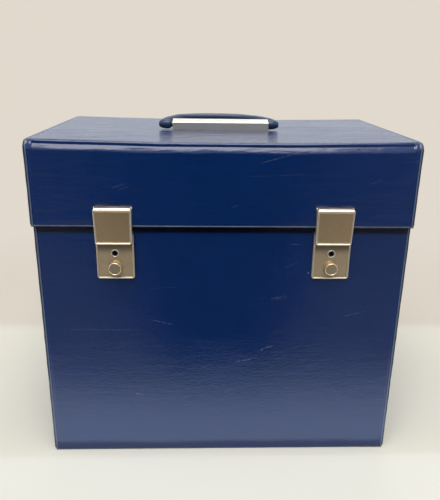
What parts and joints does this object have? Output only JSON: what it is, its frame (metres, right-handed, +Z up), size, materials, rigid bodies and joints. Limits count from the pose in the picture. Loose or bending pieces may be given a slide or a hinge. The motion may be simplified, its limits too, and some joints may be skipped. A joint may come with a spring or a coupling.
{
  "type": "record carrying case",
  "caption": "Upright vinyl-covered box for LP records, with a deep back-hinged lid, push-button hasp locks in front and a folding handle on top.",
  "frame": {"origin": "middle of the base, on the surface the case stands on, centred on the whole depth including locks and hinge strip", "axes": "+X to the right seen from the front, +Y to the hinged back, +Z up"},
  "size_m": [0.3534, 0.2273, 0.3388],
  "materials": {
    "blue_vinyl": "fine leather-grained PVC cloth, satin",
    "vinyl_seam": "heat-welded PVC edge, darker and smoother",
    "greyboard": "raw pressed board",
    "lining": "matt blue-grey lining paper",
    "satin_nickel": "satin nickel plate, slightly warm",
    "bright_nickel": "polished nickel plate",
    "inner_steel": "zinc-plated steel",
    "spring_steel": "drawn spring wire",
    "grip_plastic": "soft moulded blue plastic, satin"
  },
  "bodies": {
    "body": {"body_front_cover": "blue_vinyl", "body_back_cover": "blue_vinyl", "body_bottom_cover": "blue_vinyl", "body_left_cover": "blue_vinyl", "body_right_cover": "blue_vinyl", "body_front_board": "greyboard", "body_back_board": "greyboard", "body_left_board": "greyboard", "body_right_board": "greyboard", "body_bottom_board": "greyboard", "inner_front_board": "greyboard", "inner_left_board": "greyboard", "inner_right_board": "greyboard", "body_left_seam": "vinyl_seam", "body_right_seam": "vinyl_seam", "body_lining": "lining", "hinge_strip": "blue_vinyl", "lock_studs": "inner_steel", "lock_backing_plates": "inner_steel", "left_lock_plate": "satin_nickel", "right_lock_plate": "satin_nickel", "left_lock_base": "inner_steel", "right_lock_base": "inner_steel", "left_button_spring": "spring_steel", "right_button_spring": "spring_steel", "left_catch_spring": "spring_steel", "right_catch_spring": "spring_steel"},
    "lid": {"lid_wrap": "blue_vinyl", "lid_left_cover": "blue_vinyl", "lid_right_cover": "blue_vinyl", "lid_front_board": "greyboard", "lid_back_board": "greyboard", "lid_left_board": "greyboard", "lid_right_board": "greyboard", "lid_top_board": "greyboard", "lid_left_seam": "vinyl_seam", "lid_right_seam": "vinyl_seam", "lid_rim_seam": "vinyl_seam", "lid_lining": "lining", "handle_channel": "satin_nickel", "handle_backing_plate": "inner_steel", "hasp_pins": "inner_steel", "hasp_rivets": "inner_steel", "hasp_backing_plates": "inner_steel", "left_hasp_base": "inner_steel", "right_hasp_base": "inner_steel"},
    "handle": {"handle_grip": "grip_plastic", "handle_rod": "inner_steel"},
    "left_hasp": {"left_hasp": "satin_nickel", "left_hasp_hook": "inner_steel"},
    "left_button": {"left_button": "satin_nickel"},
    "left_catch": {"left_catch_slide": "inner_steel"},
    "left_key_plug": {"left_key_plug": "bright_nickel"},
    "right_hasp": {"right_hasp": "satin_nickel", "right_hasp_hook": "inner_steel"},
    "right_button": {"right_button": "satin_nickel"},
    "right_catch": {"right_catch_slide": "inner_steel"},
    "right_key_plug": {"right_key_plug": "bright_nickel"}
  },
  "joints": [
    {"name": "lid_hinge", "type": "hinge", "parent": "body", "child": "lid", "pos_m": [0, 0.11325, 0.2475], "axis": [-1, 0, 0], "range_deg": [0, 180], "deforming": ["hinge_strip"]},
    {"name": "handle_hinge", "type": "hinge", "parent": "lid", "child": "handle", "pos_m": [-0.0014, 0, 0.33], "axis": [1, 0, 0], "range_deg": [0, 168]},
    {"name": "left_hasp_hinge", "type": "hinge", "parent": "lid", "child": "left_hasp", "pos_m": [-0.1012, -0.10725, 0.2662], "axis": [-1, 0, 0], "range_deg": [0, 95]},
    {"name": "left_button_press", "type": "slide", "parent": "body", "child": "left_button", "axis": [0, 1, 0], "range_m": [0, 0.0023], "stiffness_N_per_m": 400, "springref_m": -0.003, "deforming": ["left_button_spring"]},
    {"name": "left_catch_drop", "type": "slide", "parent": "body", "child": "left_catch", "axis": [0, 0, -1], "range_m": [0, 0.0023], "deforming": ["left_catch_spring"]},
    {"name": "left_key_turn", "type": "hinge", "parent": "body", "child": "left_key_plug", "pos_m": [-0.1012, -0.10605, 0.2225], "axis": [0, 1, 0], "range_deg": [0, 90]},
    {"name": "right_hasp_hinge", "type": "hinge", "parent": "lid", "child": "right_hasp", "pos_m": [0.1012, -0.10725, 0.2662], "axis": [-1, 0, 0], "range_deg": [0, 95]},
    {"name": "right_button_press", "type": "slide", "parent": "body", "child": "right_button", "axis": [0, 1, 0], "range_m": [0, 0.0023], "stiffness_N_per_m": 400, "springref_m": -0.003, "deforming": ["right_button_spring"]},
    {"name": "right_catch_drop", "type": "slide", "parent": "body", "child": "right_catch", "axis": [0, 0, -1], "range_m": [0, 0.0023], "deforming": ["right_catch_spring"]},
    {"name": "right_key_turn", "type": "hinge", "parent": "body", "child": "right_key_plug", "pos_m": [0.1012, -0.10605, 0.2225], "axis": [0, 1, 0], "range_deg": [0, 90]}
  ],
  "couplings": [
    {"joint": "left_catch_drop", "follows": "left_button_press", "ratio": 1},
    {"joint": "right_catch_drop", "follows": "right_button_press", "ratio": 1}
  ]
}
